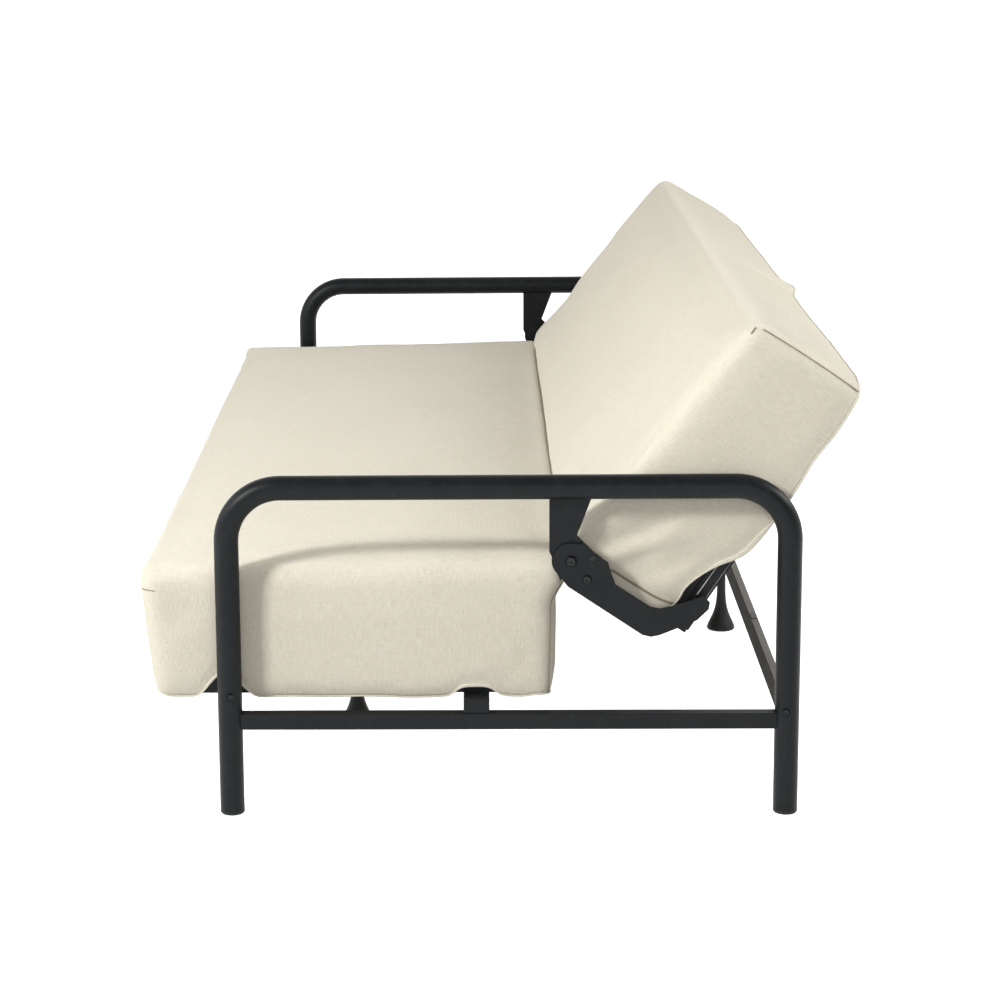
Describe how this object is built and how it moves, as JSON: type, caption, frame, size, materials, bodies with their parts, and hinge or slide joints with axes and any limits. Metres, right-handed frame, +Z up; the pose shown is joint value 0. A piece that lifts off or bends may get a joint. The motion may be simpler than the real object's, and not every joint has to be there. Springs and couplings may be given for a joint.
{
  "type": "sofa bed",
  "caption": "Sofa bed on a bent steel tube frame; the padded back folds down about a hinge at each arm to lie level with the seat.",
  "frame": {"origin": "on the floor below the middle of the sofa's bounding box in the upright pose", "axes": "+Z up, the seat faces -Y, +X towards the sitter's left-hand arm"},
  "size_m": [2.0826, 1.0998, 0.7675],
  "materials": {
    "black_steel": "satin powder coat",
    "black_fastener": "black oxide, semi-gloss",
    "zinc_steel": "zinc plated",
    "black_plastic": "moulded, matte",
    "rubber": "matte",
    "birch": "bare laminated birch",
    "linen_cover": "natural linen-look weave"
  },
  "bodies": {
    "base": {"arm_tube_left": "black_steel", "arm_tube_right": "black_steel", "side_rail_left": "black_steel", "side_rail_right": "black_steel", "hinge_bracket_left": "black_steel", "hinge_bracket_right": "black_steel", "hinge_bushes": "zinc_steel", "support_post_left": "black_steel", "support_post_right": "black_steel", "support_post_screws": "zinc_steel", "foot_cap_front_left": "black_plastic", "foot_cap_front_right": "black_plastic", "foot_cap_rear_left": "black_plastic", "foot_cap_rear_right": "black_plastic", "rear_stretcher": "black_steel", "stretcher_inserts": "zinc_steel", "stretcher_bolts": "black_fastener", "stretcher_pads": "rubber", "rear_centre_foot": "black_plastic", "seat_front_bar": "black_steel", "seat_rear_bar": "black_steel", "seat_side_bar_left": "black_steel", "seat_side_bar_right": "black_steel", "seat_cross_bar_left": "black_steel", "seat_cross_bar_right": "black_steel", "seat_foot_left": "black_plastic", "seat_foot_right": "black_plastic", "seat_bolts": "black_fastener", "seat_bolt_spacers": "black_steel", "seat_bolt_nuts": "zinc_steel", "seat_slats": "birch", "seat_slat_holders": "black_plastic", "seat_cushion": "linen_cover", "seat_cover_skirt": "linen_cover"},
    "back": {"back_lever_left": "black_steel", "back_lever_right": "black_steel", "lever_doubler_left": "black_steel", "lever_doubler_right": "black_steel", "lever_spacers": "black_steel", "pivot_bolts": "black_fastener", "pivot_nuts": "black_fastener", "lever_rivets": "black_fastener", "stop_pins": "black_fastener", "stop_sleeves": "zinc_steel", "back_lower_bar": "black_steel", "back_upper_bar": "black_steel", "back_side_bar_left": "black_steel", "back_side_bar_right": "black_steel", "back_cross_bar_left": "black_steel", "back_cross_bar_right": "black_steel", "back_slats": "birch", "back_slat_holders": "black_plastic", "back_cushion": "linen_cover", "back_cover_skirt": "linen_cover"}
  },
  "joints": [
    {"name": "back_fold", "type": "hinge", "parent": "base", "child": "back", "pos_m": [0, 0.1127, 0.4047], "axis": [-1, 0, 0], "range_deg": [-20, 56]}
  ]
}
